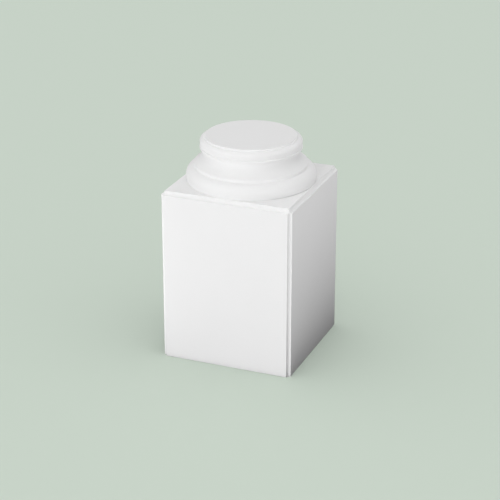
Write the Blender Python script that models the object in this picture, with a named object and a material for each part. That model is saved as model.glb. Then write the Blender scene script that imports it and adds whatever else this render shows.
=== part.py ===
"""Column base: a coved square pedestal block with a turned Attic base on top.

Metres, +Z up. The origin is the centre of the block's underside. The seat's radius drives the
turned base, ring by ring, and the turned base drives the width of the block that carries it.
"""

import bpy
import bmesh
from math import cos, pi, radians, sin

# Seat that carries the column shaft, a low drum over the upper torus
SEAT_RADIUS = 0.1075
SEAT_HEIGHT = 0.0045

# Upper torus: how high above its foot it is widest, how far it swells past the seat, and how far it
# tucks back in below
UPPER_TORUS_HEIGHT = 0.0195
UPPER_TORUS_WIDEST = 0.0108
UPPER_TORUS_SWELL = 0.0115
UPPER_TORUS_TUCK = 0.002

# Upper fillet: how far it stands out of the crease under the torus
UPPER_FILLET_HEIGHT = 0.0057
UPPER_FILLET_REACH = 0.0025

# Neck: the upright start of the scotia, set back under the upper fillet
NECK_HEIGHT = 0.0036
NECK_DEPTH = 0.008

# Scotia: the hollow that flares from the neck to the lower fillet
SCOTIA_HEIGHT = 0.031
SCOTIA_FLARE = 0.0215

# Lower fillet, upright, as wide as the scotia's foot
LOWER_FILLET_HEIGHT = 0.0067

# Lower torus: how high above the bed it is widest, how far it swells past the lower fillet, and how far
# it tucks back in to its bed
LOWER_TORUS_HEIGHT = 0.035
LOWER_TORUS_WIDEST = 0.013
LOWER_TORUS_SWELL = 0.0185
LOWER_TORUS_TUCK = 0.002

# Pedestal block: its flat top is wider than the lower torus by the margin on each side
BLOCK_HEIGHT = 0.416
COVE_RADIUS = 0.008
TOP_MARGIN = 0.0005

# Bed joint between the block and the turned base
BED_GAP = 0.0003

# Fineness of the round forms
TURN_STEPS = 72
COVE_SIDES = 32
QUARTER_STEPS = 6
SHARP_ANGLE = radians(30)

# White priming paint on rigid moulding foam
PRIMER_COLOUR = (0.86, 0.86, 0.85, 1.0)
PRIMER_ROUGHNESS = 0.55

# Radii of the turned base from the seat down
upper_torus_radius = SEAT_RADIUS + UPPER_TORUS_SWELL
crease_radius = upper_torus_radius - UPPER_TORUS_TUCK
upper_fillet_radius = crease_radius + UPPER_FILLET_REACH
neck_radius = upper_fillet_radius - NECK_DEPTH
lower_fillet_radius = neck_radius + SCOTIA_FLARE
lower_torus_radius = lower_fillet_radius + LOWER_TORUS_SWELL
bed_radius = lower_torus_radius - LOWER_TORUS_TUCK

# The block takes its width from the turned base
block_width = 2 * (lower_torus_radius + TOP_MARGIN + COVE_RADIUS)


def clear_scene():
    for thing in list(bpy.data.objects):
        bpy.data.objects.remove(thing, do_unlink=True)


def primer_paint(name):
    paint = bpy.data.materials.new(name)
    paint.use_nodes = True
    shader = paint.node_tree.nodes["Principled BSDF"]
    shader.inputs["Base Color"].default_value = PRIMER_COLOUR
    shader.inputs["Roughness"].default_value = PRIMER_ROUGHNESS
    shader.inputs["Metallic"].default_value = 0.0
    return paint


def shade_round(mesh):
    mesh.shade_smooth()
    mesh.set_sharp_from_angle(angle=SHARP_ANGLE)


def add_cove_rod(collection, place, turn, length):
    """A rod centred on one edge of the block, running past both of the edge's ends."""
    overrun = 2 * COVE_RADIUS
    bpy.ops.mesh.primitive_cylinder_add(
        vertices=COVE_SIDES, radius=COVE_RADIUS, depth=length + 2 * overrun, location=place, rotation=turn
    )
    rod = bpy.context.object
    rod.name = "cove_cutter"
    rod.display_type = "WIRE"
    rod.hide_render = True
    shade_round(rod.data)
    for owner in list(rod.users_collection):
        owner.objects.unlink(rod)
    collection.objects.link(rod)


def add_cove_cutters():
    """The rods that cut the coves of the four vertical edges and the four top edges."""
    cutters = bpy.data.collections.new("cove_cutters")
    bpy.context.scene.collection.children.link(cutters)
    half = block_width / 2
    for side in (-half, half):
        add_cove_rod(cutters, (side, -half, BLOCK_HEIGHT / 2), (0, 0, 0), BLOCK_HEIGHT)
        add_cove_rod(cutters, (side, half, BLOCK_HEIGHT / 2), (0, 0, 0), BLOCK_HEIGHT)
        add_cove_rod(cutters, (side, 0, BLOCK_HEIGHT), (pi / 2, 0, 0), block_width)
        add_cove_rod(cutters, (0, side, BLOCK_HEIGHT), (0, pi / 2, 0), block_width)
    return cutters


def add_block():
    """The square block, standing on z = 0, with a cove along its vertical and top edges."""
    bpy.ops.mesh.primitive_cube_add(size=1, location=(0, 0, BLOCK_HEIGHT / 2))
    block = bpy.context.object
    block.name = "pedestal_block"
    block.scale = (block_width, block_width, BLOCK_HEIGHT)
    bpy.ops.object.transform_apply(location=False, rotation=False, scale=True)
    cove = block.modifiers.new("cove", "BOOLEAN")
    cove.operation = "DIFFERENCE"
    cove.operand_type = "COLLECTION"
    cove.collection = add_cove_cutters()
    cove.solver = "EXACT"
    block.data.materials.append(primer_paint("block_primer"))


def quarter(centre, reach, start):
    """A quarter ellipse about centre, clockwise from start in degrees, as (radius, height)."""
    points = []
    for step in range(QUARTER_STEPS + 1):
        angle = radians(start - 90 * step / QUARTER_STEPS)
        points.append((centre[0] + reach[0] * cos(angle), centre[1] + reach[1] * sin(angle)))
    return points


def base_outline():
    """The turned base's outline as (radius, height) above its bed, from the seat's centre out and down."""
    lower_fillet_foot = LOWER_TORUS_HEIGHT
    scotia_foot = lower_fillet_foot + LOWER_FILLET_HEIGHT
    neck_foot = scotia_foot + SCOTIA_HEIGHT
    upper_fillet_foot = neck_foot + NECK_HEIGHT
    crease = upper_fillet_foot + UPPER_FILLET_HEIGHT
    seat_foot = crease + UPPER_TORUS_HEIGHT
    seat = seat_foot + SEAT_HEIGHT
    upper_rise = UPPER_TORUS_HEIGHT - UPPER_TORUS_WIDEST
    upper_middle = crease + UPPER_TORUS_WIDEST
    lower_rise = LOWER_TORUS_HEIGHT - LOWER_TORUS_WIDEST
    lower_middle = LOWER_TORUS_WIDEST

    outline = [(0, seat), (SEAT_RADIUS, seat)]
    outline += quarter((SEAT_RADIUS, upper_middle), (UPPER_TORUS_SWELL, upper_rise), 90)
    outline += quarter((crease_radius, upper_middle), (UPPER_TORUS_TUCK, UPPER_TORUS_WIDEST), 0)[1:]
    outline += [(upper_fillet_radius, crease), (upper_fillet_radius, upper_fillet_foot)]
    outline += [(neck_radius, upper_fillet_foot)]
    outline += reversed(quarter((lower_fillet_radius, neck_foot), (SCOTIA_FLARE, SCOTIA_HEIGHT), 270))
    outline += quarter((lower_fillet_radius, lower_middle), (LOWER_TORUS_SWELL, lower_rise), 90)
    outline += quarter((bed_radius, lower_middle), (LOWER_TORUS_TUCK, LOWER_TORUS_WIDEST), 0)[1:]
    outline += [(0, 0)]
    return outline


def add_base():
    """The turned base: its outline spun once round the upright axis, on the block's top."""
    turning = bmesh.new()
    points = [turning.verts.new((radius, 0, height)) for radius, height in base_outline()]
    edges = [turning.edges.new(pair) for pair in zip(points, points[1:])]
    bmesh.ops.spin(
        turning, geom=points + edges, cent=(0, 0, 0), axis=(0, 0, 1),
        angle=2 * pi, steps=TURN_STEPS, use_merge=True,
    )
    bmesh.ops.remove_doubles(turning, verts=turning.verts[:], dist=0.00001)
    bmesh.ops.recalc_face_normals(turning, faces=turning.faces[:])
    mesh = bpy.data.meshes.new("attic_base")
    turning.to_mesh(mesh)
    turning.free()
    shade_round(mesh)
    mesh.materials.append(primer_paint("base_primer"))
    base = bpy.data.objects.new("attic_base", mesh)
    base.location = (0, 0, BLOCK_HEIGHT + BED_GAP)
    bpy.context.scene.collection.objects.link(base)


clear_scene()
add_block()
add_base()
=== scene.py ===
import math

import bmesh
import bpy
import numpy as np
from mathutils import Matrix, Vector


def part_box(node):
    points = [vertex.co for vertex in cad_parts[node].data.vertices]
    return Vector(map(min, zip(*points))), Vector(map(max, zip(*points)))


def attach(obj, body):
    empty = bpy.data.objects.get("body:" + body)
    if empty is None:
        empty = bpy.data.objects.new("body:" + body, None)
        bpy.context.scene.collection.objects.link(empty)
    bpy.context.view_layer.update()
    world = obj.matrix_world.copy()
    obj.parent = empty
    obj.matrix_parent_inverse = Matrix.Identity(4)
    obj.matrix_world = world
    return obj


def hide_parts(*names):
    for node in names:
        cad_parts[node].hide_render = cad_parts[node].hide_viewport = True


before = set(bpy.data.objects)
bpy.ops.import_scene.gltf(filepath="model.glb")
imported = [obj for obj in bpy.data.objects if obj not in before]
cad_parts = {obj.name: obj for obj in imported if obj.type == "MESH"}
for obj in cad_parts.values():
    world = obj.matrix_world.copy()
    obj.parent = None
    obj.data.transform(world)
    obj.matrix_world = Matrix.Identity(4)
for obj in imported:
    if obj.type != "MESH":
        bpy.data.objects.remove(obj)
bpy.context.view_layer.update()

blockLow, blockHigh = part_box("pedestal_block")
baseLow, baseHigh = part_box("attic_base")
blockWidth = blockHigh.x - blockLow.x
weldDistance = 0.000002  # metres, below which two points of a surface are one
print("frame loaded")


# sRGB hex to the linear colour that shaders take
def linearColour(code):
    parts = [int(code[at:at + 2], 16) / 255 for at in (0, 2, 4)]
    linear = [part / 12.92 if part <= 0.04045 else ((part + 0.055) / 1.055) ** 2.4 for part in parts]
    return tuple(linear) + (1.0,)


# Adds a node and sets its inputs: a plain value is set on the socket, another node's output is linked to it
def addNode(tree, kind, inputs=(), **settings):
    node = tree.nodes.new(kind)
    for name, value in settings.items():
        setattr(node, name, value)
    for name, value in dict(inputs).items():
        if isinstance(value, bpy.types.NodeSocket):
            tree.links.new(value, node.inputs[name])
        else:
            node.inputs[name].default_value = value
    return node


# White priming paint, sprayed on a rigid foam moulding: matt, faintly uneven in tone, with a fine orange
# peel. Sizes and depths are in metres.
primer = dict(
    light="f2f2f2",
    dark="ececec",
    toneBase=0.1,  # least share of the light tone
    patchSize=0.11,  # across one soft patch of tone
    patchDetail=3.0,
    mottleSize=0.004,  # across one fleck, where the spray lands thicker
    mottleDetail=4.0,
    peelSize=0.0013,  # real orange peel is 1 to 2 mm across
    peelDetail=2.0,
    peelDepth=0.00002,
    waveSize=0.035,  # slow unevenness that sanding leaves
    waveDetail=1.0,
    waveDepth=0.00010,
    roughLow=0.72,
    roughHigh=0.84,
)


def primerPaint(name):
    paint = bpy.data.materials.new(name)
    paint.use_nodes = True
    tree = paint.node_tree
    shader = tree.nodes["Principled BSDF"]
    place = addNode(tree, "ShaderNodeTexCoord").outputs["Object"]

    def noise(pattern):
        return addNode(tree, "ShaderNodeTexNoise", {
            "Vector": place,
            "Scale": 1 / primer[pattern + "Size"],
            "Detail": primer[pattern + "Detail"],
        }).outputs["Fac"]

    patches = noise("patch")
    mottle = noise("mottle")
    blend = addNode(
        tree, "ShaderNodeMath", {0: patches, 1: mottle, 2: primer["toneBase"]}, operation="MULTIPLY_ADD"
    )
    tone = addNode(tree, "ShaderNodeMix", {"Factor": blend.outputs[0]}, data_type="RGBA")
    tone.inputs["A"].default_value = linearColour(primer["dark"])
    tone.inputs["B"].default_value = linearColour(primer["light"])
    gloss = addNode(
        tree, "ShaderNodeMapRange",
        {"Value": mottle, "To Min": primer["roughLow"], "To Max": primer["roughHigh"]},
    )
    wave = addNode(tree, "ShaderNodeBump", {"Height": noise("wave"), "Distance": primer["waveDepth"]})
    peel = addNode(
        tree, "ShaderNodeBump",
        {"Height": noise("peel"), "Distance": primer["peelDepth"], "Normal": wave.outputs[0]},
    )
    tree.links.new(tone.outputs["Result"], shader.inputs["Base Color"])
    tree.links.new(gloss.outputs["Result"], shader.inputs["Roughness"])
    tree.links.new(peel.outputs["Normal"], shader.inputs["Normal"])
    return paint


# A closed surface from a grid of points: rows run along the profile and columns once round the axis,
# so each column joins the next and the last joins the first. Both ends are closed by one flat face.
def ringGrid(name, grid, paint):
    rows, columns = grid.shape[:2]
    number = np.arange(rows * columns).reshape(rows, columns)
    beside = np.roll(number, -1, axis=1)
    quads = np.stack([number[:-1], beside[:-1], beside[1:], number[1:]], axis=-1).reshape(-1, 4)
    ends = [number[0, ::-1].tolist(), number[-1].tolist()]
    mesh = bpy.data.meshes.new(name)
    mesh.from_pydata(grid.reshape(-1, 3), [], quads.tolist() + ends)
    weld = bmesh.new()
    weld.from_mesh(mesh)
    bmesh.ops.remove_doubles(weld, verts=weld.verts[:], dist=weldDistance)
    bmesh.ops.recalc_face_normals(weld, faces=weld.faces[:])
    weld.to_mesh(mesh)
    weld.free()
    mesh.shade_smooth()
    mesh.materials.append(paint)
    piece = bpy.data.objects.new(name, mesh)
    bpy.context.scene.collection.objects.link(piece)
    return piece


# Points on a circle about centre, turning evenly from one angle to another, in degrees
def arc(centre, radius, start, end, steps):
    turn = np.radians(np.linspace(start, end, steps + 1))
    return np.stack([centre[0] + radius * np.cos(turn), centre[1] + radius * np.sin(turn)], axis=1)


# Pedestal block
block = dict(
    cove=0.008,  # radius of the hollow along the upright and top edges
    topStretch=1.18,  # the top hollow is this much taller than it is deep
    arris=0.0004,  # radius that paint leaves on the sharp edges
    arrisSteps=5,
    coveSteps=20,
    edgeBand=0.0012,  # flat band beside each arris, so that the wide faces shade flat
)


# The block's upright profile as (inset, height). From the underside: a soft arris, the upright face, a soft
# arris, the cove's quarter circle about the block's own top edge, and a soft arris on to the flat top.
# All from the upper end of the face on is then stretched upright about the top edge.
def blockProfile(height):
    cove, soft, band = block["cove"], block["arris"], block["edgeBand"]
    reach = math.sqrt((cove + soft) ** 2 - soft ** 2)  # from the top edge to where a soft arris is centred
    lean = math.degrees(math.asin(soft / (cove + soft)))
    steps = block["arrisSteps"]
    foot = [[(soft + band, 0)], arc((soft, soft), soft, 270, 180, steps), [(0, soft + band)]]
    head = np.concatenate([
        [(0, -reach - band)],
        arc((soft, -reach), soft, 180, 90 + lean, steps),
        arc((0, 0), cove, lean - 90, -lean, block["coveSteps"])[1:-1],
        arc((reach, -soft), soft, 180 - lean, 90, steps),
        [(reach + band, 0)],
    ])
    return np.concatenate(foot + [head * (1, block["topStretch"]) + (0, height)])


# One corner of the block's outline at a given inset, as distances from the uncut corner along both faces.
# The upright cove's circle is about the uncut corner. A soft arris joins it to each face: it is centred on
# a circle one arris wider, at the height of one arris inside the face. Where the inset is so deep that the
# two soft arrises meet on the diagonal, the cove has run out and one soft corner is left.
def blockCorner(inset):
    cove, soft = block["cove"], block["arris"]
    reach = max(cove + soft, math.sqrt(2) * (inset + soft))
    lean = math.degrees(math.asin(min(1, (inset + soft) / reach)))
    centre = (reach * math.cos(math.radians(lean)), inset + soft)
    first = np.concatenate([
        [(centre[0] + block["edgeBand"], inset)],
        arc(centre, soft, 270, 180 + lean, block["arrisSteps"]),
    ])
    hollow = arc((0, 0), reach - soft, lean, 90 - lean, block["coveSteps"])[1:-1]
    return np.concatenate([first, hollow, first[::-1, ::-1]])


# One row for each point of the profile: the corner at that inset, mirrored into all four corners in turn
def makeBlock(paint):
    half = blockWidth / 2
    grid = []
    for inset, level in blockProfile(blockHigh.z):
        corner = half - blockCorner(inset)
        across = np.concatenate([
            corner * (1, -1),
            corner[::-1] * (1, 1),
            corner * (-1, 1),
            corner[::-1] * (-1, -1),
        ])
        grid.append(np.column_stack([across, np.full(len(across), level)]))
    piece = ringGrid("coved_block", np.array(grid), paint)
    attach(piece, "root")
    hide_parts("pedestal_block")
    return piece


# Turned base: radii grow or shrink by these steps from the seat down, and the heights add up from the bed
base = dict(
    seatRadius=0.1075, seatHeight=0.0045,
    upperTorusHeight=0.0195, upperTorusWidest=0.0108, upperTorusSwell=0.0115, upperTorusTuck=0.002,
    upperFilletHeight=0.0057, upperFilletReach=0.0025,
    neckHeight=0.0036, neckDepth=0.008,
    scotiaHeight=0.031, scotiaFlare=0.0215,
    scotiaPart=50.0,  # degrees of an ellipse's quarter that the scotia follows
    lowerFilletHeight=0.0067,
    lowerTorusHeight=0.035, lowerTorusWidest=0.013, lowerTorusSwell=0.0185, lowerTorusTuck=0.002,
    torusPart=70.0,  # degrees of an ellipse's quarter that the lower torus follows above its widest
    curvePoints=25,
    softness=0.0012,  # how far paint rounds an arris or fills a crease
    windowReach=3,  # half the averaging window, in softnesses
    foot=0.0015,  # how far paint spreads from the bed on to the block
    walk=0.0001,  # step of the fine walk along the outline
    rowLength=0.0030,  # longest row
    rowTurn=9.0,  # most that the outline turns in one row, in degrees
    columns=240,
)


# A curve from one point to another as (radius, height): upright at the first point, and then a part of an
# ellipse's quarter, stretched to end at the second point. The part is in degrees; at 90 it ends level.
def easeCurve(first, last, part):
    turn = np.radians(np.linspace(0, part, base["curvePoints"]))
    along = (1 - np.cos(turn)) / (1 - math.cos(turn[-1]))
    down = np.sin(turn) / math.sin(turn[-1])
    return first + np.stack([along, down], axis=1) * np.subtract(last, first)


# A quarter ellipse from start, clockwise, in degrees
def quarter(centre, reach, start):
    turn = np.radians(np.linspace(start, start - 90, base["curvePoints"]))
    return np.stack([centre[0] + reach[0] * np.cos(turn), centre[1] + reach[1] * np.sin(turn)], axis=1)


# The base's outline as (radius, height) above its bed, from the seat's centre out and down to the bed
def baseOutline():
    b = base
    fillet = b["lowerTorusHeight"]
    scotia = fillet + b["lowerFilletHeight"]
    neck = scotia + b["scotiaHeight"]
    upperFillet = neck + b["neckHeight"]
    crease = upperFillet + b["upperFilletHeight"]
    seatFoot = crease + b["upperTorusHeight"]
    seat = seatFoot + b["seatHeight"]
    upperWidest = b["seatRadius"] + b["upperTorusSwell"]
    creaseRadius = upperWidest - b["upperTorusTuck"]
    upperFilletRadius = creaseRadius + b["upperFilletReach"]
    neckRadius = upperFilletRadius - b["neckDepth"]
    lowerFilletRadius = neckRadius + b["scotiaFlare"]
    lowerWidest = lowerFilletRadius + b["lowerTorusSwell"]
    bedRadius = lowerWidest - b["lowerTorusTuck"]
    upperRise, upperFall = b["upperTorusHeight"] - b["upperTorusWidest"], b["upperTorusWidest"]
    lowerFall = b["lowerTorusWidest"]
    return np.concatenate([
        [(0, seat), (b["seatRadius"], seat)],
        quarter((b["seatRadius"], crease + upperFall), (b["upperTorusSwell"], upperRise), 90),
        quarter((creaseRadius, crease + upperFall), (b["upperTorusTuck"], upperFall), 0)[1:],
        [(upperFilletRadius, crease), (upperFilletRadius, upperFillet), (neckRadius, upperFillet)],
        easeCurve((neckRadius, neck), (lowerFilletRadius, scotia), b["scotiaPart"]),
        easeCurve((lowerWidest, lowerFall), (lowerFilletRadius, fillet), b["torusPart"])[::-1],
        quarter((bedRadius, lowerFall), (b["lowerTorusTuck"], lowerFall), 0)[1:],
        [(bedRadius + b["foot"], 0)],
    ])


# Walks the outline at even steps, averages it over a short bell-shaped window, which softens its arrises
# and creases, and keeps rows so that none is longer, or turns further, than the base's named limits
def softenedRows(outline):
    along = np.concatenate([[0], np.cumsum(np.hypot(*np.diff(outline, axis=0).T))])
    steps = np.linspace(0, along[-1], int(along[-1] / base["walk"]))
    walked = np.stack([np.interp(steps, along, outline[:, axis]) for axis in (0, 1)], axis=1)
    span = int(base["windowReach"] * base["softness"] / base["walk"])
    bell = np.exp(-0.5 * (np.arange(-span, span + 1) * base["walk"] / base["softness"]) ** 2)
    bell /= bell.sum()
    padded = np.pad(walked, ((span, span), (0, 0)), mode="reflect", reflect_type="odd")
    soft = np.stack([np.convolve(padded[:, axis], bell, mode="valid") for axis in (0, 1)], axis=1)
    heading = np.unwrap(np.arctan2(*np.gradient(soft, axis=0).T[::-1]))
    turned = np.concatenate([[0], np.cumsum(np.abs(np.diff(heading)))])
    measure = steps / base["rowLength"] + turned / math.radians(base["rowTurn"])
    picks = np.interp(np.linspace(0, measure[-1], int(measure[-1]) + 1), measure, steps)
    return np.stack([np.interp(picks, steps, soft[:, axis]) for axis in (0, 1)], axis=1)


# The outline's rows turned once round the upright axis. The lowest row sits on the block's top, which
# closes the bed joint that the frame keeps open.
def makeBase(paint):
    rows = softenedRows(baseOutline())
    turn = np.linspace(0, 2 * math.pi, base["columns"], endpoint=False)
    radius, level = rows[1:, 0, None], rows[1:, 1, None]
    level = np.where(level <= 0, blockHigh.z, baseLow.z + level)
    grid = np.stack([radius * np.cos(turn), radius * np.sin(turn), level + 0 * turn], axis=-1)
    piece = ringGrid("turned_base", grid, paint)
    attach(piece, "root")
    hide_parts("attic_base")
    return piece


pieces = [makeBlock(primerPaint("white primer on the block"))]
print("block made")
pieces.append(makeBase(primerPaint("white primer on the turned base")))
print("turned base made")


# Studio: a pale green floor that runs back to a backdrop of the same colour. The backdrop lights nothing.
studio = dict(
    colour="c7d3c7",
    floorRadius=12.0,
    floorSides=96,
    floorRoughness=0.9,
    lampDistance=5.0,  # where the lamps hang; as suns they light the same from anywhere
)


def floorPaint():
    paint = bpy.data.materials.new("pale green studio floor")
    paint.use_nodes = True
    shader = paint.node_tree.nodes["Principled BSDF"]
    shader.inputs["Base Color"].default_value = linearColour(studio["colour"])
    shader.inputs["Roughness"].default_value = studio["floorRoughness"]
    return paint


def makeStudio():
    bpy.ops.mesh.primitive_circle_add(
        vertices=studio["floorSides"], radius=studio["floorRadius"], fill_type="NGON"
    )
    floor = bpy.context.object
    floor.name = "studio_floor"
    floor.data.materials.append(floorPaint())
    floor.visible_diffuse = False  # no green cast on the white object
    floor.visible_glossy = False
    world = bpy.data.worlds.new("studio backdrop")
    bpy.context.scene.world = world
    world.use_nodes = True
    world.node_tree.nodes["Background"].inputs["Color"].default_value = linearColour(studio["colour"])
    world.cycles_visibility.diffuse = False
    world.cycles_visibility.glossy = False
    return floor


# Soft lamps, each a sun. Azimuth runs right from straight in front, height up from level, and spread is
# the sun's width, all in degrees. Each lights the object or the floor alone.
lamps = dict(
    floorLight=dict(onFloor=True, azimuth=20, height=80, spread=140, power=3.15),
    topLight=dict(azimuth=0, height=89, spread=80, power=1.40),
    frontLight=dict(azimuth=0, height=20, spread=30, power=1.07),
    frontLeftLight=dict(azimuth=-20, height=15, spread=40, power=1.19),
    lowRightLight=dict(azimuth=120, height=8, spread=80, power=0.38),
    behindLight=dict(azimuth=180, height=35, spread=80, power=0.91),
)

# White reflector cards that lie on the floor, unseen by the camera, and send light up to the object. They
# overlap, so each lies a little above the one before. Places are in metres.
cards = dict(
    frontCard=dict(x=(-0.6, 0.6), y=(-1.0, -0.165), z=0.0005, power=1.12),
    rightCard=dict(x=(0.31, 2.5), y=(-1.5, 1.5), z=0.0015, power=10.4),
    leftCard=dict(x=(-2.5, -0.3), y=(-1.5, 1.5), z=0.0025, power=24.1),
    farRightCard=dict(x=(1.5, 8.0), y=(-5.0, 5.0), z=0.0035, power=512),
)


def hangLamp(name, lamp, place, turn, receivers):
    holder = bpy.data.objects.new(name, lamp)
    holder.location = place
    holder.rotation_euler = turn
    holder.visible_camera = False
    holder.light_linking.receiver_collection = receivers
    bpy.context.scene.collection.objects.link(holder)


def addLamp(name, receivers, azimuth, height, spread, power, onFloor=False):
    lamp = bpy.data.lights.new(name, "SUN")
    lamp.angle = math.radians(spread)
    lamp.energy = power
    turn, rise = math.radians(azimuth), math.radians(height)
    outward = Vector((math.sin(turn) * math.cos(rise), -math.cos(turn) * math.cos(rise), math.sin(rise)))
    place = Vector((0, 0, baseHigh.z / 2)) + outward * studio["lampDistance"]
    hangLamp(name, lamp, place, outward.to_track_quat("Z", "Y").to_euler(), receivers)


def addCard(name, receivers, x, y, z, power):
    lamp = bpy.data.lights.new(name, "AREA")
    lamp.shape = "RECTANGLE"
    lamp.size, lamp.size_y = x[1] - x[0], y[1] - y[0]
    lamp.energy = power
    place = Vector((sum(x) / 2, sum(y) / 2, z))
    hangLamp(name, lamp, place, (math.pi, 0, 0), receivers)


def receiverGroup(name, things):
    group = bpy.data.collections.new(name)
    for thing in things:
        group.objects.link(thing)
    return group


# Camera, at the photograph's viewing angle
camera = dict(
    yaw=22.08,  # degrees that the view turns left of square to the front face
    pitch=22.79,  # degrees that it looks down
    place=(4.300, -10.623, 5.545),  # in widths of the block, from the middle of its underside
    lens=120.8,
    nearest=0.05,  # metres
    farthest=100,
)


def addCamera():
    lens = bpy.data.cameras.new("camera")
    lens.lens = camera["lens"]
    lens.clip_start = camera["nearest"]
    lens.clip_end = camera["farthest"]
    holder = bpy.data.objects.new("camera", lens)
    holder.location = Vector(camera["place"]) * blockWidth
    holder.rotation_euler = (math.radians(90 - camera["pitch"]), 0, math.radians(camera["yaw"]))
    bpy.context.scene.collection.objects.link(holder)
    bpy.context.scene.camera = holder


floorGroup = receiverGroup("floor alone", [makeStudio()])
pieceGroup = receiverGroup("object alone", pieces)
for name, values in lamps.items():
    addLamp(name, floorGroup if values.get("onFloor") else pieceGroup, **values)
for name, values in cards.items():
    addCard(name, pieceGroup, **values)
addCamera()
bpy.context.scene.view_settings.view_transform = "Standard"
print("studio made")
